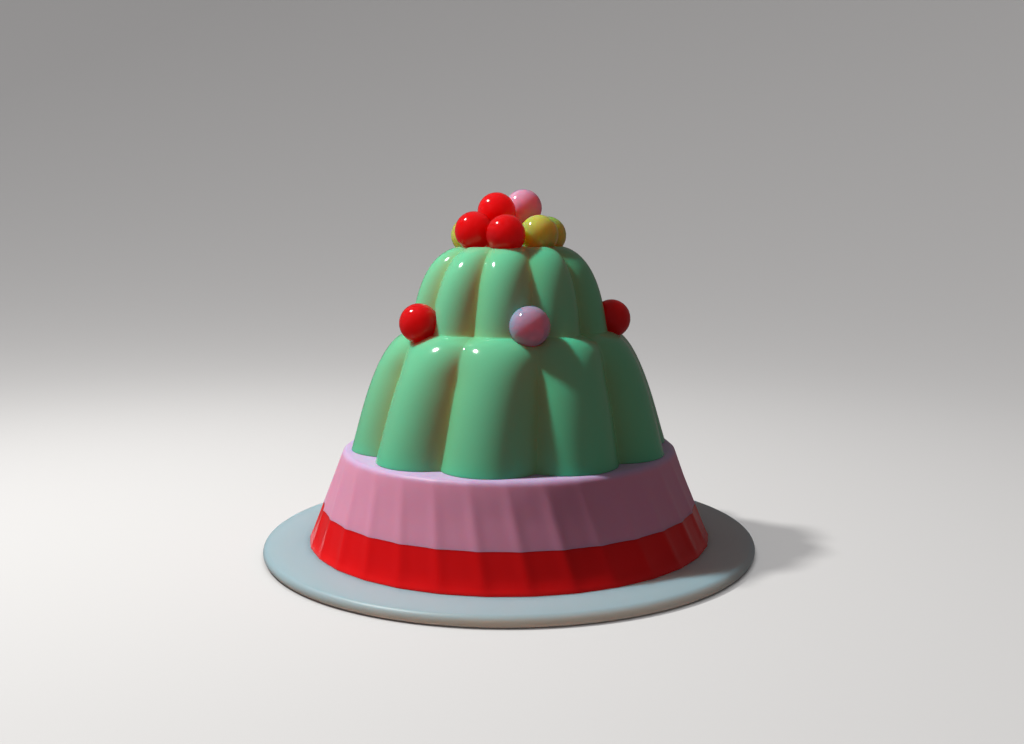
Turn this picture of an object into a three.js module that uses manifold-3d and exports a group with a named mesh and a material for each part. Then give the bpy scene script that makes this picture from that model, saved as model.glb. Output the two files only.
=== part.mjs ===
// A moulded jelly on its plate: a red and a pink layer with a fluted side, a lobed
// two-tier green dome on top of them, and a scatter of candied fruit balls.
// Millimetres, +Z up. The origin is the middle of the plate's underside, and the
// front of the jelly faces -Y. Angles are measured from the front, towards +X.

import * as THREE from 'three';
import { mergeVertices } from 'three/addons/utils/BufferGeometryUtils.js';
import Module from 'manifold-3d';

const wasm = await Module();
wasm.setup();

// Plate: a flat disc with a fully rounded edge.
const PLATE_RADIUS = 115;
const PLATE_THICKNESS = 5;

// Fluted base, cut level into a red and a pink layer.
const BASE_BOTTOM_RADIUS = 94.4;
const BASE_TOP_RADIUS = 77.6;
const BASE_TOP_Z = 47.5;
const BASE_EDGE_RADIUS = 2.4;
const LAYER_JOIN_Z = 21.2;
const FLUTE_COUNT = 32;
const FLUTE_DEPTH = 1.3;
const FLUTE_POWER = 3; // a higher power makes the ridges narrower
const FLUTE_END_SHARE = 0.35; // of the depth, at the foot and at the top edge
const FLUTE_FULL_FROM_Z = 11;
const FLUTE_FULL_UNTIL_Z = 30;
const FLUTE_RIDGE_ANGLE = 6.5; // degrees, at z = 0
const FLUTE_TWIST = -0.155; // degrees per mm of height

// Lobed dome, turned out a little off the middle. Its outline is measured along the
// crest of a lobe.
const DOME_OFFSET_X = 1;
const LOBE_COUNT = 10;
const LOBE_CREASE_DEPTH = 0.122; // of the crest radius
const LOBE_CREASE_ANGLE = 5.8; // degrees, at z = 0
const LOBE_TWIST = 0.073; // degrees per mm of height
const DOME_BOTTOM_RADIUS = 74.8;
const LOWER_TIER_PULLS = [[70.6, 59.5], [63.5, 99.5]]; // the curve's two inner control points
const SHOULDER_START_Z = 82;
const SHOULDER_END_Z = 99;
const SHOULDER_LOSS = 0.45; // of the crease depth
const WAIST_RADIUS = 46.8;
const WAIST_Z = 102.2;
const UPPER_TIER_PULLS = [[44.7, 114.2], [41.3, 138.5]];
const RIM_RADIUS = 23;
const RIM_Z = 140.6;
const DISH_RADIUS = 16;
const DISH_Z = 138;

const BALL_RADIUS = 8.9;
const SEAT_GAP = 0.3;

// The ring of fruit balls, in every second crease of the shoulder: colour, distance from
// the dome's axis and angle of each centre.
const RING_Z = 107.2;
const RING = [
  ['pink', 47, 10.2],
  ['red', 47, 82.2],
  ['yellow', 47, 154.2],
  ['pink', 47, 226.2],
  ['red', 48.5, 304],
];

// The heap on the dome: colour, distance from the axis, angle and height of each centre.
const HEAP = [
  ['red', 17.7, -59.1, 147.5],
  ['red', 19.9, -2.1, 145.9],
  ['yellow', 17.0, 56.5, 145.8],
  ['yellow', 20.4, -118.8, 145.4],
  ['red', 22.6, -168.2, 145.6],
  ['red', 6.0, -121.5, 156.4],
  ['pink', 17.8, 155.3, 158.2],
  ['yellow', 20.3, 113.5, 145.3],
];

// Facets.
const SIDES_PER_FLUTE = 4;
const SIDES_PER_LOBE = 12;
const LOWER_TIER_BANDS = 9;
const UPPER_TIER_BANDS = 8;
const EDGE_BANDS = 3;
const PLATE_SIDES = 72;
const BALL_SIDES = 14;
const BALL_BANDS = 9;

const FINISHES = {
  plate: { color: 0xe8ecea, roughness: 0.3 },
  red: { color: 0xd8141c, roughness: 0.2 },
  pink: { color: 0xeba6bc, roughness: 0.3 },
  green: { color: 0x86cfa4, roughness: 0.2 },
  yellow: { color: 0xd6cf5e, roughness: 0.25 },
};

function namedMesh(name, geometry, finish) {
  const material = new THREE.MeshStandardMaterial({ ...FINISHES[finish], metalness: 0 });
  const mesh = new THREE.Mesh(geometry, material);
  mesh.name = name;
  return mesh;
}

// A point at a distance from the axis, an angle from the front and a height.
function polarPoint(radius, degrees, z) {
  const angle = THREE.MathUtils.degToRad(degrees);
  return new THREE.Vector3(radius * Math.sin(angle), -radius * Math.cos(angle), z);
}

// Welds a geometry's shared corners and drops the flat triangles left at its poles.
function welded(geometry) {
  geometry.deleteAttribute('normal');
  geometry.deleteAttribute('uv');
  const merged = mergeVertices(geometry, 1e-4);
  const corners = merged.getIndex().array;
  const kept = [];
  for (let i = 0; i < corners.length; i += 3) {
    const [a, b, c] = [corners[i], corners[i + 1], corners[i + 2]];
    if (a !== b && b !== c && c !== a) kept.push(a, b, c);
  }
  merged.setIndex(kept);
  return merged;
}

function toManifold(geometry) {
  const vertProperties = new Float32Array(geometry.getAttribute('position').array);
  const triVerts = new Uint32Array(geometry.getIndex().array);
  return new wasm.Manifold(new wasm.Mesh({ numProp: 3, vertProperties, triVerts }));
}

function toGeometry(solid) {
  const mesh = solid.getMesh();
  const geometry = new THREE.BufferGeometry();
  geometry.setAttribute('position', new THREE.BufferAttribute(mesh.vertProperties, 3));
  geometry.setIndex(new THREE.BufferAttribute(mesh.triVerts, 1));
  return geometry;
}

// Turns an outline of (radius, height) points about the axis, then moves each point:
// sectionAt(degrees, z) gives what its radius is multiplied by, and twistAt(z) turns its level.
function turnedSolid(outline, sides, sectionAt = () => 1, twistAt = () => 0) {
  const geometry = welded(new THREE.LatheGeometry(outline, sides).rotateX(Math.PI / 2));
  const position = geometry.getAttribute('position');
  for (let i = 0; i < position.count; i += 1) {
    const radius = Math.hypot(position.getX(i), position.getY(i));
    const degrees = THREE.MathUtils.radToDeg(Math.atan2(position.getX(i), -position.getY(i)));
    const z = position.getZ(i);
    const moved = polarPoint(radius * sectionAt(degrees, z), degrees + twistAt(z), z);
    position.setXYZ(i, moved.x, moved.y, z);
  }
  return geometry;
}

// Concave flutes that meet in ridges and grow shallow at the foot and at the top edge.
function fluteSection(degrees, z) {
  const pitch = 360 / FLUTE_COUNT;
  const across = Math.abs(2 * THREE.MathUtils.euclideanModulo(degrees / pitch, 1) - 1);
  const foot = THREE.MathUtils.smoothstep(z, PLATE_THICKNESS, FLUTE_FULL_FROM_Z);
  const top = 1 - THREE.MathUtils.smoothstep(z, FLUTE_FULL_UNTIL_Z, BASE_TOP_Z);
  const depth = FLUTE_DEPTH * THREE.MathUtils.lerp(FLUTE_END_SHARE, 1, foot * top);
  return 1 - (depth / BASE_BOTTOM_RADIUS) * (1 - across ** FLUTE_POWER);
}

// Round lobes, each an arc of a circle, that meet in sharp creases. The lower tier's
// creases grow shallow on its shoulder.
function lobeSection(degrees, z) {
  const pitch = 360 / LOBE_COUNT;
  const half = THREE.MathUtils.degToRad(pitch / 2);
  const shoulder = THREE.MathUtils.smoothstep(z, SHOULDER_START_Z, SHOULDER_END_Z);
  const ledge = THREE.MathUtils.smoothstep(z, SHOULDER_END_Z, WAIST_Z);
  const crease = 1 - LOBE_CREASE_DEPTH * (1 - SHOULDER_LOSS * (shoulder - ledge));
  const halfChord = crease * Math.sin(half);
  const rise = 1 - crease * Math.cos(half);
  const arcRadius = (halfChord ** 2 + rise ** 2) / (2 * rise);
  const arcCentre = 1 - arcRadius;
  const across = half * (2 * THREE.MathUtils.euclideanModulo(degrees / pitch, 1) - 1);
  return arcCentre * Math.cos(across) + Math.sqrt(arcRadius ** 2 - (arcCentre * Math.sin(across)) ** 2);
}

const fluteTwist = (z) => FLUTE_RIDGE_ANGLE + FLUTE_TWIST * z;
const lobeTwist = (z) => LOBE_CREASE_ANGLE + LOBE_TWIST * z;

// The base's sloping side: an outline point at each of the levels.
function baseSide(levels) {
  return levels.map((z) => {
    const t = (z - PLATE_THICKNESS) / (BASE_TOP_Z - PLATE_THICKNESS);
    return new THREE.Vector2(THREE.MathUtils.lerp(BASE_BOTTOM_RADIUS, BASE_TOP_RADIUS, t), z);
  });
}

function plate() {
  const edge = PLATE_THICKNESS / 2;
  const outline = new THREE.Path();
  outline.moveTo(0, 0);
  outline.lineTo(PLATE_RADIUS - edge, 0);
  outline.absarc(PLATE_RADIUS - edge, edge, edge, -Math.PI / 2, Math.PI / 2, false);
  outline.lineTo(0, PLATE_THICKNESS);
  return namedMesh('plate', turnedSolid(outline.getPoints(EDGE_BANDS), PLATE_SIDES), 'plate');
}

function redLayer() {
  const side = baseSide([PLATE_THICKNESS, FLUTE_FULL_FROM_Z, LAYER_JOIN_Z]);
  const outline = [new THREE.Vector2(0, PLATE_THICKNESS), ...side, new THREE.Vector2(0, LAYER_JOIN_Z)];
  const sides = FLUTE_COUNT * SIDES_PER_FLUTE;
  return namedMesh('layer_red', turnedSolid(outline, sides, fluteSection, fluteTwist), 'red');
}

function pinkLayer() {
  const edgeZ = BASE_TOP_Z - BASE_EDGE_RADIUS;
  const side = baseSide([LAYER_JOIN_Z, FLUTE_FULL_UNTIL_Z, (FLUTE_FULL_UNTIL_Z + edgeZ) / 2, edgeZ]);
  const edge = new THREE.QuadraticBezierCurve(
    side.at(-1),
    new THREE.Vector2(BASE_TOP_RADIUS, BASE_TOP_Z),
    new THREE.Vector2(BASE_TOP_RADIUS - BASE_EDGE_RADIUS, BASE_TOP_Z),
  ).getPoints(EDGE_BANDS);
  const middle = [new THREE.Vector2(0, LAYER_JOIN_Z), new THREE.Vector2(0, BASE_TOP_Z)];
  const outline = [middle[0], ...side, ...edge.slice(1), middle[1]];
  const sides = FLUTE_COUNT * SIDES_PER_FLUTE;
  return namedMesh('layer_pink', turnedSolid(outline, sides, fluteSection, fluteTwist), 'pink');
}

// The dome's outline: a wide lower tier, a waist, and an upper tier with a dished top.
function domeOutline() {
  const foot = new THREE.Vector2(DOME_BOTTOM_RADIUS, BASE_TOP_Z);
  const waist = new THREE.Vector2(WAIST_RADIUS, WAIST_Z);
  const rim = new THREE.Vector2(RIM_RADIUS, RIM_Z);
  const pulls = (tier) => tier.map(([radius, z]) => new THREE.Vector2(radius, z));
  const lowerCurve = new THREE.CubicBezierCurve(foot, ...pulls(LOWER_TIER_PULLS), waist);
  const upperCurve = new THREE.CubicBezierCurve(waist, ...pulls(UPPER_TIER_PULLS), rim);
  const lower = lowerCurve.getPoints(LOWER_TIER_BANDS);
  const upper = upperCurve.getPoints(UPPER_TIER_BANDS);
  const dish = [new THREE.Vector2(DISH_RADIUS, DISH_Z), new THREE.Vector2(0, DISH_Z)];
  return [new THREE.Vector2(0, BASE_TOP_Z), ...lower, ...upper.slice(1), ...dish];
}

function greenDome(ballCentres) {
  const sides = LOBE_COUNT * SIDES_PER_LOBE;
  const whole = turnedSolid(domeOutline(), sides, lobeSection, lobeTwist);
  let dome = toManifold(whole.translate(DOME_OFFSET_X, 0, 0));
  for (const centre of ballCentres) {
    const seat = ballGeometry(BALL_RADIUS + SEAT_GAP).translate(centre.x, centre.y, centre.z);
    dome = dome.subtract(toManifold(welded(seat)));
  }
  return namedMesh('jelly_green', toGeometry(dome), 'green');
}

function ballGeometry(radius) {
  return new THREE.SphereGeometry(radius, BALL_SIDES, BALL_BANDS).rotateX(Math.PI / 2);
}

function ballMesh(name, colour, centre) {
  const mesh = namedMesh(name, welded(ballGeometry(BALL_RADIUS)), colour);
  mesh.position.copy(centre);
  return mesh;
}

function ringBalls() {
  return RING.map(([colour, radius, degrees], i) => {
    const centre = polarPoint(radius, degrees, RING_Z);
    centre.x += DOME_OFFSET_X;
    return ballMesh(`ball_ring_${i + 1}`, colour, centre);
  });
}

function heapBalls() {
  return HEAP.map(([colour, radius, degrees, z], i) => (
    ballMesh(`ball_heap_${i + 1}`, colour, polarPoint(radius, degrees, z))
  ));
}

const jelly = new THREE.Group();
const balls = [...ringBalls(), ...heapBalls()];
jelly.add(plate(), redLayer(), pinkLayer(), greenDome(balls.map((ball) => ball.position)), ...balls);

export default jelly;
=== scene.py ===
import math
import bpy
from mathutils import Matrix, Vector


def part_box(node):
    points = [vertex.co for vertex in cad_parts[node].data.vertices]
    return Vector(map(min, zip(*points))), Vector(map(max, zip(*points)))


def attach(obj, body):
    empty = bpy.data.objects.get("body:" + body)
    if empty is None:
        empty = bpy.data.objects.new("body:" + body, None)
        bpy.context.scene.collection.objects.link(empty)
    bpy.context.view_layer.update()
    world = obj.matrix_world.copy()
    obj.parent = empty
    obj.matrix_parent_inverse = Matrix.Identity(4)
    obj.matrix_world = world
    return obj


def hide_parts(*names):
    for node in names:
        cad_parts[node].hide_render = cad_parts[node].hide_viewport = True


# A moulded jelly on its plate: a fluted red and pink base, a lobed green dome and thirteen fruit balls.
# Sizes are in millimetres, with the heights from the plate's underside. The meshes are in metres.

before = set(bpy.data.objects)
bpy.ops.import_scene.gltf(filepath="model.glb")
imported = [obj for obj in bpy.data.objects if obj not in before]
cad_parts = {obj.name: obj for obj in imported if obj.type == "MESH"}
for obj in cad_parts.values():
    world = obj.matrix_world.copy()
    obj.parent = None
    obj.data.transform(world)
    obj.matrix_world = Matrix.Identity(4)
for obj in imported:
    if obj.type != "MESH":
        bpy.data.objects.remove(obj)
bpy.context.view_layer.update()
mm = 0.001
weldDistance = 0.001 * mm
cornerAngle = math.radians(40)
nodeSpacing = 180
print("frame loaded:", len(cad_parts), "nodes")


class Wire:
    # an output socket; arithmetic on it adds Math nodes to its tree
    def __init__(self, graph, socket):
        self.graph = graph
        self.socket = socket

    def other(self, name):
        return Wire(self.graph, self.socket.node.outputs[name])

    def math(self, operation, *values):
        return self.graph.math(operation, self, *values)

    def __add__(self, value):
        return self.graph.math("ADD", self, value)

    def __radd__(self, value):
        return self.graph.math("ADD", value, self)

    def __sub__(self, value):
        return self.graph.math("SUBTRACT", self, value)

    def __rsub__(self, value):
        return self.graph.math("SUBTRACT", value, self)

    def __mul__(self, value):
        return self.graph.math("MULTIPLY", self, value)

    def __rmul__(self, value):
        return self.graph.math("MULTIPLY", value, self)

    def __truediv__(self, value):
        return self.graph.math("DIVIDE", self, value)

    def __rtruediv__(self, value):
        return self.graph.math("DIVIDE", value, self)

    def __pow__(self, value):
        return self.graph.math("POWER", self, value)

    def __abs__(self):
        return self.graph.math("ABSOLUTE", self)


class Graph:
    # a node tree, and the one method that adds a node to it
    def __init__(self, tree):
        self.tree = tree

    def add(self, kind, settings=None, values=None, output=0):
        node = self.tree.nodes.new(kind)
        node.location.x = nodeSpacing * len(self.tree.nodes)
        for name, value in (settings or {}).items():
            setattr(node, name, value)
        for name, value in (values or {}).items():
            self.put(node.inputs[name], value)
        return Wire(self, node.outputs[output]) if node.outputs else node

    def put(self, socket, value):
        if isinstance(value, Wire):
            self.tree.links.new(value.socket, socket)
        else:
            socket.default_value = value

    def math(self, operation, *values):
        return self.add("ShaderNodeMath", {"operation": operation}, dict(enumerate(values)))

    def vector(self, operation, *values, output="Vector"):
        return self.add("ShaderNodeVectorMath", {"operation": operation}, dict(enumerate(values)), output)

    def mixColours(self, factor, first, second):
        return self.add("ShaderNodeMix", {"data_type": "RGBA"}, {0: factor, 6: first, 7: second}, 2)

    def ramp(self, value, since, until):
        # a smooth step from until[0] to until[1], while the value runs from since[0] to since[1]
        ends = {"From Min": since[0], "From Max": since[1], "To Min": until[0], "To Max": until[1]}
        return self.add("ShaderNodeMapRange", {"interpolation_type": "SMOOTHSTEP"}, {"Value": value, **ends})


socketKinds = {
    "int": "NodeSocketInt",
    "float": "NodeSocketFloat",
    "Object": "NodeSocketObject",
}


def newShapeTree(name, values):
    # an empty Geometry Nodes group with a named input for its material and one for each value
    tree = bpy.data.node_groups.new(name, "GeometryNodeTree")
    tree.interface.new_socket("Geometry", in_out="INPUT", socket_type="NodeSocketGeometry")
    tree.interface.new_socket("Material", in_out="INPUT", socket_type="NodeSocketMaterial")
    for label, value in values.items():
        socketKind = socketKinds[type(value).__name__]
        socket = tree.interface.new_socket(label, in_out="INPUT", socket_type=socketKind)
        if isinstance(value, (int, float)):
            socket.default_value = value
    tree.interface.new_socket("Geometry", in_out="OUTPUT", socket_type="NodeSocketGeometry")
    graph = Graph(tree)
    return graph, graph.add("NodeGroupInput").other


def endShapeTree(graph, geometry, material):
    # every tree ends with its instances made real and its material set
    real = graph.add("GeometryNodeRealizeInstances", {}, {"Geometry": geometry})
    dressed = graph.add("GeometryNodeSetMaterial", {}, {"Geometry": real, "Material": material})
    graph.add("NodeGroupOutput", {}, {"Geometry": dressed})
    return graph.tree


def pointsObject(name, points):
    # bare vertices, in order, for a tree to read
    mesh = bpy.data.meshes.new(name)
    mesh.from_pydata(points, [], [])
    holder = bpy.data.objects.new(name, mesh)
    bpy.context.scene.collection.objects.link(holder)
    return holder


def runTree(name, points, tree, values):
    # runs a tree on the points and keeps its result as a plain mesh object
    source = pointsObject(name + "Points", points)
    modifier = source.modifiers.new(name, "NODES")
    modifier.node_group = tree
    for item in tree.interface.items_tree:
        if item.in_out == "INPUT" and item.name in values:
            modifier[item.identifier] = values[item.name]
    depsgraph = bpy.context.evaluated_depsgraph_get()
    mesh = bpy.data.meshes.new_from_object(source.evaluated_get(depsgraph), depsgraph=depsgraph)
    source.modifiers.remove(modifier)
    bpy.data.objects.remove(source)
    mesh.name = name
    piece = bpy.data.objects.new(name, mesh)
    bpy.context.scene.collection.objects.link(piece)
    return piece


def finishPiece(piece, node):
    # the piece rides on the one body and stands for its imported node
    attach(piece, "root")
    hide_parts(node)
    print(f"{piece.name}: {len(piece.data.polygons)} faces, stands for {node}")


# An outline is a list of (radius, height) points, from the axis below to the axis above.


def straightRun(first, last, steps):
    return [Vector(first).lerp(Vector(last), i / steps) for i in range(steps + 1)]


def curveRun(controls, steps, since=0.0, until=1.0):
    # part of a Bezier curve of any degree, by repeated interpolation between its control points
    points = []
    for i in range(steps + 1):
        t = since + (until - since) * i / steps
        level = [Vector(control) for control in controls]
        while len(level) > 1:
            level = [a.lerp(b, t) for a, b in zip(level, level[1:])]
        points.append(level[0])
    return points


def outlinePoints(*runs):
    # joins runs end to end as points in the XZ plane, in metres, without the repeats where they meet
    points = []
    for radius, height in (point for run in runs for point in run):
        point = Vector((radius, 0, height)) * mm
        if not points or (point - points[-1]).length > weldDistance:
            points.append(point)
    return points


# A section gives the share of an outline's radius that is left at each angle and height.


def plainSection(graph, given, angle, height):
    return 1.0


def flutedSection(graph, given, angle, height):
    # concave flutes that meet in rounded ridges and grow shallow at the foot and at the top edge
    across = abs((angle * given("Flutes") / math.tau).math("FRACT") * 2 - 1)
    power = given("Flute Power")
    hollow = (across ** power).math("SMOOTH_MIN", (2 - across) ** power, given("Ridge Rounding"))
    foot = graph.ramp(height, (given("Foot Start"), given("Foot End")), (0.0, 1.0))
    top = graph.ramp(height, (given("Top Start"), given("Top End")), (1.0, 0.0))
    share = given("End Share") + (1 - given("End Share")) * foot * top
    return 1 - given("Flute Depth") * share * (1 - hollow)


def lobedSection(graph, given, angle, height):
    # each lobe is an arc of a circle, and two neighbours meet in a slightly rounded crease,
    # which grows shallow on the lower tier's shoulder
    half = math.pi / given("Lobes")
    shoulder = graph.ramp(height, (given("Shoulder Start"), given("Shoulder End")), (0.0, 1.0))
    ledge = graph.ramp(height, (given("Shoulder End"), given("Waist Height")), (0.0, 1.0))
    crease = 1 - given("Crease Depth") * (1 - given("Shoulder Loss") * (shoulder - ledge))
    halfChord = crease * half.math("SINE")
    rise = 1 - crease * half.math("COSINE")
    arcRadius = (halfChord ** 2 + rise ** 2) / (rise * 2)
    arcCentre = 1 - arcRadius

    def reach(turn):
        inside = arcRadius ** 2 - (arcCentre * turn.math("SINE")) ** 2
        return arcCentre * turn.math("COSINE") + inside.math("MAXIMUM", 0.0).math("SQRT")

    across = abs((angle * given("Lobes") / math.tau).math("FRACT") * 2 - 1) * half
    return reach(across).math("SMOOTH_MAX", reach(half * 2 - across), given("Crease Rounding"))


def pressSeats(graph, given, place, body):
    # pushes the surface out of every fruit ball that sinks into it
    centres = graph.add("GeometryNodeObjectInfo", {}, {"Object": given("Fruit")}, "Geometry")
    nearest = graph.add("GeometryNodeSampleNearest", {}, {"Geometry": centres, "Sample Position": place})
    sample = {"Geometry": centres, "Value": place, "Index": nearest}
    centre = graph.add("GeometryNodeSampleIndex", {"data_type": "FLOAT_VECTOR"}, sample)
    away = graph.vector("SUBTRACT", place, centre)
    distance = graph.vector("LENGTH", away, output="Value")
    clear = distance.math("SMOOTH_MAX", given("Seat Radius"), given("Seat Rounding"))
    pushed = graph.vector("MULTIPLY_ADD", away, clear / distance, centre)
    return graph.add("GeometryNodeSetPosition", {}, {"Geometry": body, "Position": pushed})


def turnedTree(name, section, values):
    # turns an outline about Z: a sheet with a row for each outline point is bent round and welded
    common = {"Start Angle": 0.0, "Twist": 0.0, "Offset": 0.0}
    graph, given = newShapeTree(name, {**common, **values})
    place = graph.add("GeometryNodeInputPosition")
    rows = graph.add("GeometryNodeAttributeDomainSize", {}, {"Geometry": given("Geometry")})
    sheetValues = {"Size X": 1.0, "Size Y": 1.0, "Vertices X": rows, "Vertices Y": given("Columns") + 1}
    sheet = graph.add("GeometryNodeMeshGrid", {}, sheetValues)
    sheetPlace = graph.add("ShaderNodeSeparateXYZ", {}, {0: place})
    row = ((sheetPlace + 0.5) * (rows - 1)).math("ROUND")
    angle = (sheetPlace.other("Y") + 0.5) * math.tau
    sample = {"Geometry": given("Geometry"), "Value": place, "Index": row}
    spot = graph.add("GeometryNodeSampleIndex", {"data_type": "FLOAT_VECTOR"}, sample)
    outline = graph.add("ShaderNodeSeparateXYZ", {}, {0: spot})
    height = outline.other("Z")
    relief = section(graph, given, angle, height)
    turned = angle + given("Start Angle") + given("Twist") * height
    x = outline * relief * turned.math("SINE") + given("Offset")
    y = outline * relief * turned.math("COSINE") * -1
    target = graph.add("ShaderNodeCombineXYZ", {}, {"X": x, "Y": y, "Z": height})
    mark = {"Geometry": sheet, "Name": "relief", "Value": relief}
    marked = graph.add("GeometryNodeStoreNamedAttribute", {}, mark)
    shaped = graph.add("GeometryNodeSetPosition", {}, {"Geometry": marked, "Position": target})
    welded = graph.add("GeometryNodeMergeByDistance", {}, {"Geometry": shaped, "Distance": weldDistance})
    body = graph.add("GeometryNodeFlipFaces", {}, {"Mesh": welded})
    if "Fruit" in values:
        body = pressSeats(graph, given, place, body)
    smooth = {"Geometry": body, "Shade Smooth": True}
    rounded = graph.add("GeometryNodeSetShadeSmooth", {"domain": "FACE"}, smooth)
    corner = graph.add("GeometryNodeInputMeshEdgeAngle").math("GREATER_THAN", cornerAngle)
    sharp = {"Geometry": rounded, "Selection": corner, "Shade Smooth": False}
    creased = graph.add("GeometryNodeSetShadeSmooth", {"domain": "EDGE"}, sharp)
    return endShapeTree(graph, creased, given("Material"))


def newMaterial(name, sockets):
    # a Principled material whose even values are set straight on its sockets
    material = bpy.data.materials.new(name)
    material.use_nodes = True
    shader = material.node_tree.nodes["Principled BSDF"]
    for socket, value in sockets.items():
        shader.inputs[socket].default_value = value
    return material, shader


def softNoise(graph, scale, detail=2.0):
    # noise from 0 to 1 on Object coordinates, scale in features per metre
    place = graph.add("ShaderNodeTexCoord", {}, {}, "Object")
    return graph.add("ShaderNodeTexNoise", {}, {"Vector": place, "Scale": scale, "Detail": detail})


def softMaterial(name, looks):
    # light spreads below the surface, which has two close colours in soft clouds, uneven gloss
    # and the faint ripple that a mould or a glaze leaves
    material, shader = newMaterial(name, {
        "Subsurface Weight": looks["spreadWeight"],
        "Subsurface Radius": looks["spread"],
        "Subsurface Scale": looks["spreadScale"],
        "Specular IOR Level": looks["specular"],
    })
    shader.subsurface_method = looks["spreadMethod"]
    graph = Graph(material.node_tree)
    cloud = softNoise(graph, looks["cloudScale"], looks["cloudDetail"])
    colour = graph.mixColours(cloud, looks["colour"], looks["deepColour"])
    graph.put(shader.inputs["Base Color"], colour)
    smear = softNoise(graph, looks["smearScale"])
    graph.put(shader.inputs["Roughness"], looks["gloss"] + looks["smear"] * (smear - 0.5))
    ripple = softNoise(graph, looks["rippleScale"], 1.0)
    rippleValues = {"Strength": 1.0, "Distance": looks["rippleHeight"] * mm, "Height": ripple}
    graph.put(shader.inputs["Normal"], graph.add("ShaderNodeBump", {}, rippleValues))
    return material, graph, shader, colour


camera = {
    "imageWidth": 1024,
    "focalPixels": 1064,
    "sensorWidth": 36,
    "aim": (1.70, 0, 81.7),
    "distance": 500,
    "downDegrees": 7.55,
    "rollDegrees": -0.26,
}


def makeCamera():
    data = bpy.data.cameras.new("camera")
    data.sensor_width = camera["sensorWidth"]
    data.lens = camera["focalPixels"] / camera["imageWidth"] * camera["sensorWidth"]
    holder = bpy.data.objects.new("camera", data)
    bpy.context.scene.collection.objects.link(holder)
    tilt = Matrix.Rotation(math.radians(90 - camera["downDegrees"]), 4, "X")
    roll = Matrix.Rotation(math.radians(camera["rollDegrees"]), 4, "Z")
    back = tilt @ Vector((0, 0, camera["distance"] * mm))
    holder.matrix_world = Matrix.Translation(Vector(camera["aim"]) * mm + back) @ tilt @ roll
    bpy.context.scene.camera = holder
    print("camera at", [round(value, 3) for value in holder.matrix_world.translation])


plate = {
    "edgeSteps": 20,
    "undersideSteps": 4,
    "topSteps": 12,
    "columns": 288,
    "looks": {
        "colour": (0.37, 0.52, 0.58, 1),
        "deepColour": (0.35, 0.49, 0.55, 1),
        "cloudScale": 16, "cloudDetail": 3.0, "spreadMethod": "BURLEY",
        "spread": (1.0, 0.5, 0.4), "spreadScale": 0.02, "spreadWeight": 1.0, "specular": 0.3,
        "gloss": 0.42, "smear": 0.12, "smearScale": 14, "rippleHeight": 0.12, "rippleScale": 40,
    },
}


def makePlate():
    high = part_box("plate")[1]
    radius, thickness = high.x / mm, high.z / mm
    edge = thickness / 2
    rim = []
    for i in range(plate["edgeSteps"] + 1):
        turn = math.pi * i / plate["edgeSteps"]
        rim.append((radius - edge + edge * math.sin(turn), edge - edge * math.cos(turn)))
    outline = outlinePoints(
        straightRun((0, 0), rim[0], plate["undersideSteps"]),
        rim,
        straightRun(rim[-1], (0, thickness), plate["topSteps"]),
    )
    values = {"Columns": plate["columns"]}
    tree = turnedTree("turnedPlate", plainSection, values)
    values["Material"] = softMaterial("satinGlaze", plate["looks"])[0]
    piece = runTree("servingPlate", outline, tree, values)
    finishPiece(piece, "plate")
    return piece


base = {
    "bottomRadius": 94.4,
    "topRadius": 77.6,
    "edgeRadius": 2.4,
    "footRounding": 0.7,
    "flutes": 32,
    "fluteDepth": 1.3,
    "flutePower": 3.0,
    "ridgeRounding": 2.0,
    "ridgeAngle": 6.5,
    "twist": -0.155,
    "endShare": 0.35,
    "fullFrom": 11,
    "fullUntil": 30,
    "columnsPerFlute": 24,
    "footSteps": 5,
    "redSteps": 12,
    "pinkSteps": 26,
    "edgeSteps": 8,
    "flatSteps": 3,
    "topSteps": 6,
    "red": {
        "colour": (0.85, 0.008, 0.011, 1),
        "deepColour": (0.78, 0.006, 0.008, 1),
        # painted bounce light from the plate: the red turns lighter towards its foot
        "paintedLightColour": (0.98, 0.012, 0.014, 1),
        "paintedLightHeights": (9.0, 5.0),
        "cloudScale": 22, "cloudDetail": 3.0, "spreadMethod": "RANDOM_WALK",
        "spread": (1.0, 0.3, 0.2), "spreadScale": 0.002, "spreadWeight": 0.9, "specular": 0.2,
        "gloss": 0.22, "smear": 0.10, "smearScale": 25, "rippleHeight": 0.15, "rippleScale": 60,
    },
    "pink": {
        "colour": (0.79, 0.35, 0.51, 1),
        "deepColour": (0.76, 0.32, 0.48, 1),
        # painted sheen: the pink turns lavender at its top edge
        "paintedLightColour": (0.58, 0.43, 0.68, 1),
        "paintedLightHeights": (44.5, 47.4),
        "cloudScale": 22, "cloudDetail": 3.0, "spreadMethod": "RANDOM_WALK",
        "spread": (1.0, 0.3, 0.2), "spreadScale": 0.002, "spreadWeight": 0.9, "specular": 0.3,
        "gloss": 0.46, "smear": 0.10, "smearScale": 25, "rippleHeight": 0.15, "rippleScale": 60,
    },
}


def baseRadiusAt(z):
    bottomZ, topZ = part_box("layer_red")[0].z / mm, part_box("layer_pink")[1].z / mm
    share = (z - bottomZ) / (topZ - bottomZ)
    return base["bottomRadius"] + (base["topRadius"] - base["bottomRadius"]) * share


def layerMaterial(name, looks):
    # painted light: the colour changes towards one edge of the layer, where painted bounce light from the
    # plate makes the red's foot lighter and a painted sheen makes the pink's top edge lavender
    material, graph, shader, cloud = softMaterial(name, looks)
    place = graph.add("ShaderNodeTexCoord", {}, {}, "Object")
    height = graph.add("ShaderNodeSeparateXYZ", {}, {0: place}, "Z") / mm
    edge = graph.ramp(height, looks["paintedLightHeights"], (0.0, 1.0))
    graph.put(shader.inputs["Base Color"], graph.mixColours(edge, cloud, looks["paintedLightColour"]))
    return material


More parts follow.
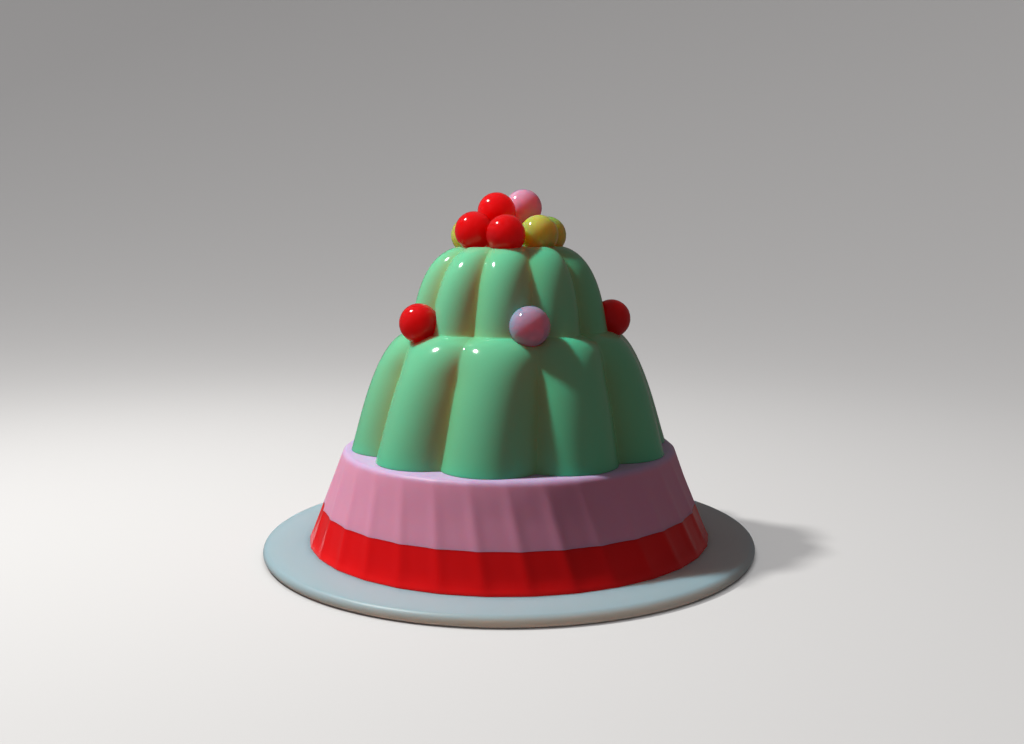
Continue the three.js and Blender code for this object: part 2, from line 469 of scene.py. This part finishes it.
def makeLayers():
    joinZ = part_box("layer_red")[1].z / mm
    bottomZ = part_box("layer_red")[0].z / mm
    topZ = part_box("layer_pink")[1].z / mm
    join = (baseRadiusAt(joinZ), joinZ)
    rounding = base["footRounding"]
    footRadius = baseRadiusAt(bottomZ)
    redSide = (baseRadiusAt(bottomZ + rounding), bottomZ + rounding)
    redFoot = [(footRadius - rounding, bottomZ), (footRadius, bottomZ), redSide]
    redOutline = outlinePoints(
        straightRun((0, bottomZ), redFoot[0], base["flatSteps"]),
        curveRun(redFoot, base["footSteps"]),
        straightRun(redSide, join, base["redSteps"]),
        straightRun(join, (0, joinZ), base["flatSteps"]),
    )
    edgeZ = topZ - base["edgeRadius"]
    pinkSide = (baseRadiusAt(edgeZ), edgeZ)
    pinkEdge = [pinkSide, (base["topRadius"], topZ), (base["topRadius"] - base["edgeRadius"], topZ)]
    pinkOutline = outlinePoints(
        straightRun((0, joinZ), join, base["flatSteps"]),
        straightRun(join, pinkSide, base["pinkSteps"]),
        curveRun(pinkEdge, base["edgeSteps"]),
        straightRun(pinkEdge[-1], (0, topZ), base["topSteps"]),
    )
    values = {
        "Columns": base["flutes"] * base["columnsPerFlute"],
        "Start Angle": math.radians(base["ridgeAngle"]),
        "Twist": math.radians(base["twist"]) / mm,
        "Flutes": base["flutes"],
        "Flute Depth": base["fluteDepth"] / base["bottomRadius"],
        "Flute Power": base["flutePower"],
        "Ridge Rounding": base["ridgeRounding"],
        "End Share": base["endShare"],
        "Foot Start": bottomZ * mm,
        "Foot End": base["fullFrom"] * mm,
        "Top Start": base["fullUntil"] * mm,
        "Top End": topZ * mm,
    }
    tree = turnedTree("flutedLayer", flutedSection, values)
    for colour, outline in (("red", redOutline), ("pink", pinkOutline)):
        values["Material"] = layerMaterial(colour + "Jelly", base[colour])
        finishPiece(runTree(colour + "Layer", outline, tree, values), "layer_" + colour)


fruit = {
    "subdivisions": 6,
    "unevenness": 0.02,
    "unevenScale": 70.0,
    "seatGap": 0.05,
    "seatRounding": 0.5,
    "looks": {
        "cloudScale": 60, "cloudDetail": 2.0, "spreadMethod": "RANDOM_WALK",
        "spreadScale": 0.13, "spreadWeight": 1.0, "specular": 0.25,
        "gloss": 0.09, "smear": 0.06, "smearScale": 90, "rippleHeight": 0.08, "rippleScale": 160,
    },
    "red": {
        "colour": (0.97, 0.011, 0.015, 1),
        "deepColour": (0.93, 0.008, 0.011, 1),
        "spread": (1.0, 0.006, 0.005),
        "slot": "red_ball",
    },
    "pink": {
        "colour": (0.78, 0.33, 0.48, 1),
        "deepColour": (0.74, 0.30, 0.44, 1),
        "spread": (1.0, 0.010, 0.008),
        "slot": "pink_ball",
    },
    "yellow": {
        "colour": (0.31, 0.48, 0.12, 1),
        "deepColour": (0.29, 0.43, 0.09, 1),
        "spread": (1.0, 0.13, 0.006),
        "slot": "yellow_ball",
    },
}
fruitNodes = {
    "ball_ring_1": "pink",
    "ball_ring_2": "red",
    "ball_ring_3": "yellow",
    "ball_ring_4": "pink",
    "ball_ring_5": "red",
    "ball_heap_1": "red",
    "ball_heap_2": "red",
    "ball_heap_3": "yellow",
    "ball_heap_4": "yellow",
    "ball_heap_5": "red",
    "ball_heap_6": "red",
    "ball_heap_7": "pink",
    "ball_heap_8": "yellow",
}


def ballCentre(node):
    low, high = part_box(node)
    return (low + high) / 2


def ballRadius():
    low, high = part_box("ball_ring_1")
    return (high.z - low.z) / 2


def fruitTree(values):
    # a sphere that noise makes a little uneven, on each point
    graph, given = newShapeTree("fruitBall", values)
    ballValues = {"Radius": given("Radius"), "Subdivisions": given("Subdivisions")}
    ball = graph.add("GeometryNodeMeshIcoSphere", {}, ballValues)
    place = graph.add("GeometryNodeInputPosition")
    noiseValues = {"Vector": place, "W": given("Seed"), "Scale": given("Uneven Scale"), "Detail": 1.0}
    noise = graph.add("ShaderNodeTexNoise", {"noise_dimensions": "4D"}, noiseValues)
    share = {0: place, "Scale": 1 - given("Unevenness") * noise}
    shrunk = graph.add("ShaderNodeVectorMath", {"operation": "SCALE"}, share)
    uneven = graph.add("GeometryNodeSetPosition", {}, {"Geometry": ball, "Position": shrunk})
    smoothValues = {"Geometry": uneven, "Shade Smooth": True}
    smooth = graph.add("GeometryNodeSetShadeSmooth", {"domain": "FACE"}, smoothValues)
    placed = graph.add("GeometryNodeInstanceOnPoints", {}, {"Points": given("Geometry"), "Instance": smooth})
    return endShapeTree(graph, placed, given("Material"))


def makeFruit():
    materials = {}
    for colour in ("red", "pink", "yellow"):
        materials[colour] = softMaterial(colour + "Fruit", {**fruit["looks"], **fruit[colour]})[0]
    values = {
        "Radius": ballRadius(),
        "Subdivisions": fruit["subdivisions"],
        "Unevenness": fruit["unevenness"],
        "Uneven Scale": fruit["unevenScale"],
        "Seed": 0,
    }
    tree = fruitTree(values)
    for seed, (node, colour) in enumerate(fruitNodes.items()):
        values["Seed"] = seed
        values["Material"] = materials[colour]
        place, number = node.split("_")[1:]
        name = f"{colour}Fruit{place.title()}{number}"
        finishPiece(runTree(name, [ballCentre(node)], tree, values), node)


dome = {
    "footRadius": 74.8,
    "footRounding": 0.5,
    "lowerPulls": [(70.6, 59.5), (63.5, 99.5)],
    "lowerSince": 0.01,
    "waist": (46.8, 102.2),
    "waistShare": 0.004,
    "upperPulls": [(44.7, 114.2), (41.3, 138.5)],
    "upperUntil": 0.97,
    "rimRadius": 23,
    "dishRadius": 16,
    "dishDepth": 2.6,
    "offsetX": 1,
    "lobes": 10,
    "creaseDepth": 0.122,
    "creaseRounding": 0.02,
    "shoulderStart": 82,
    "shoulderEnd": 99,
    "shoulderLoss": 0.45,
    "creaseAngle": 5.8,
    "twist": 0.073,
    "columnsPerLobe": 64,
    "undersideSteps": 3,
    "footSteps": 4,
    "lowerSteps": 52,
    "waistSteps": 7,
    "upperSteps": 44,
    "rimSteps": 6,
    "dishSteps": 6,
    # painted shade in the creases
    "creaseShadeColour": (0.21, 0.52, 0.25, 1),
    "looks": {
        "colour": (0.19, 0.64, 0.36, 1),
        "deepColour": (0.175, 0.59, 0.33, 1),
        "cloudScale": 20, "cloudDetail": 3.0,
        "spreadMethod": "BURLEY",  # it spreads red light far enough to warm the creases
        "spread": (1.0, 0.07, 0.05), "spreadScale": 0.045, "spreadWeight": 1.0, "specular": 0.3,
        "gloss": 0.10, "smear": 0.05, "smearScale": 18, "rippleHeight": 0.2, "rippleScale": 45,
    },
}


def greenMaterial():
    # painted shade: the colour turns darker and browner from the lobes' crests to the creases
    material, graph, shader, cloud = softMaterial("greenJelly", dome["looks"])
    relief = graph.add("ShaderNodeAttribute", {"attribute_name": "relief"}, {}, "Fac")
    crestShare = (relief - (1 - dome["creaseDepth"])) / dome["creaseDepth"]
    graph.put(shader.inputs["Base Color"], graph.mixColours(crestShare, dome["creaseShadeColour"], cloud))
    return material


def domeOutline():
    footZ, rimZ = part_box("layer_pink")[1].z / mm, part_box("jelly_green")[1].z / mm
    foot, waist, rim = (dome["footRadius"], footZ), dome["waist"], (dome["rimRadius"], rimZ)
    lowerTier = [foot, *dome["lowerPulls"], waist]
    upperTier = [waist, *dome["upperPulls"], rim]
    share = dome["waistShare"]
    lowerRun = curveRun(lowerTier, dome["lowerSteps"], dome["lowerSince"], 1 - share)
    upperRun = curveRun(upperTier, dome["upperSteps"], share, dome["upperUntil"])
    insideFoot = (dome["footRadius"] - dome["footRounding"], footZ)
    dish = (dome["dishRadius"], rimZ - dome["dishDepth"])
    return outlinePoints(
        straightRun((0, footZ), insideFoot, dome["undersideSteps"]),
        curveRun([insideFoot, foot, lowerRun[0]], dome["footSteps"]),
        lowerRun,
        curveRun([lowerRun[-1], waist, upperRun[0]], dome["waistSteps"]),
        upperRun,
        curveRun([upperRun[-1], rim, dish], dome["rimSteps"]),
        straightRun(dish, (0, dish[1]), dome["dishSteps"]),
    )


def makeDome():
    seats = pointsObject("fruitSeats", [ballCentre(node) for node in fruitNodes])
    values = {
        "Columns": dome["lobes"] * dome["columnsPerLobe"],
        "Start Angle": math.radians(dome["creaseAngle"]),
        "Twist": math.radians(dome["twist"]) / mm,
        "Offset": dome["offsetX"] * mm,
        "Lobes": dome["lobes"],
        "Crease Depth": dome["creaseDepth"],
        "Crease Rounding": dome["creaseRounding"],
        "Shoulder Start": dome["shoulderStart"] * mm,
        "Shoulder End": dome["shoulderEnd"] * mm,
        "Shoulder Loss": dome["shoulderLoss"],
        "Waist Height": dome["waist"][1] * mm,
        "Fruit": seats,
        "Seat Radius": ballRadius() + fruit["seatGap"] * mm,
        "Seat Rounding": fruit["seatRounding"] * mm,
    }
    tree = turnedTree("lobedDome", lobedSection, values)
    values["Material"] = greenMaterial()
    piece = runTree("greenDome", domeOutline(), tree, values)
    bpy.data.objects.remove(seats)
    finishPiece(piece, "jelly_green")


studio = {
    "floorRadius": 600,
    "coveRadius": 1300,
    "wallHeight": 2200,
    "floorSteps": 8,
    "coveSteps": 24,
    "wallSteps": 2,
    "columns": 128,
    "floorColour": (0.42, 0.42, 0.42, 1),
    "floorRoughness": 0.9,
    "ambientColour": (1.0, 0.86, 0.84, 1),
    "ambientStrength": 0.127,
    "key": {
        "angle": -93, "rise": 55, "distance": 800,
        "size": 56, "power": 7.9, "colour": (1.0, 0.98, 0.95),
    },
    "low": {
        "angle": -8, "rise": -4, "distance": 700,
        "size": 60, "power": 0.9, "colour": (1.0, 0.35, 0.1),
    },
    "overhead": {
        "angle": 0, "rise": 90, "distance": 1920,
        "size": 2600, "power": 45, "colour": (1.0, 1.0, 1.0),
    },
}


def studioLight(name):
    # a round area light at its angle from the front, its rise and its distance from the jelly's middle
    looks = studio[name]
    data = bpy.data.lights.new(name + "Light", "AREA")
    data.shape = "DISK"
    data.size = looks["size"] * mm
    data.energy = looks["power"]
    data.color = looks["colour"]
    holder = bpy.data.objects.new(name + "Light", data)
    turn, rise = math.radians(looks["angle"]), math.radians(looks["rise"])
    away = Vector((math.cos(rise) * math.sin(turn), -math.cos(rise) * math.cos(turn), math.sin(rise)))
    holder.location = (Vector((0, 0, camera["aim"][2])) + away * looks["distance"]) * mm
    holder.visible_camera = False
    aim = Vector(camera["aim"]) * mm - holder.location
    holder.rotation_euler = aim.to_track_quat("-Z", "Y").to_euler()
    bpy.context.scene.collection.objects.link(holder)
    return holder


def lightOnly(light, piece):
    lit = bpy.data.collections.new("litBy" + light.name.title())
    lit.objects.link(piece)
    light.light_linking.receiver_collection = lit


def makeStudio(servingPlate):
    floorEdge = (studio["floorRadius"], 0)
    wall = studio["floorRadius"] + studio["coveRadius"]
    coveTop = (wall, studio["coveRadius"])
    outline = outlinePoints(
        straightRun((0, 0), floorEdge, studio["floorSteps"]),
        curveRun([floorEdge, (wall, 0), coveTop], studio["coveSteps"]),
        straightRun(coveTop, (wall, studio["wallHeight"]), studio["wallSteps"]),
    )
    values = {"Columns": studio["columns"]}
    tree = turnedTree("sweptBackdrop", plainSection, values)
    floorSockets = {"Base Color": studio["floorColour"], "Roughness": studio["floorRoughness"]}
    values["Material"] = newMaterial("paleFloor", floorSockets)[0]
    sweep = runTree("paleBackdrop", outline, tree, values)
    # the sweep sends no light back, because its pale bounce would flatten the jelly
    sweep.visible_diffuse = False
    sweep.visible_glossy = False
    studioLight("key")
    lightOnly(studioLight("low"), servingPlate)
    lightOnly(studioLight("overhead"), sweep)
    world = bpy.data.worlds.new("softRoom")
    world.use_nodes = True
    background = world.node_tree.nodes["Background"]
    background.inputs["Color"].default_value = studio["ambientColour"]
    background.inputs["Strength"].default_value = studio["ambientStrength"]
    bpy.context.scene.world = world
    bpy.context.scene.view_settings.view_transform = "Standard"
    print("studio ready")


makeCamera()
servingPlate = makePlate()
makeLayers()
makeDome()
makeFruit()
makeStudio(servingPlate)
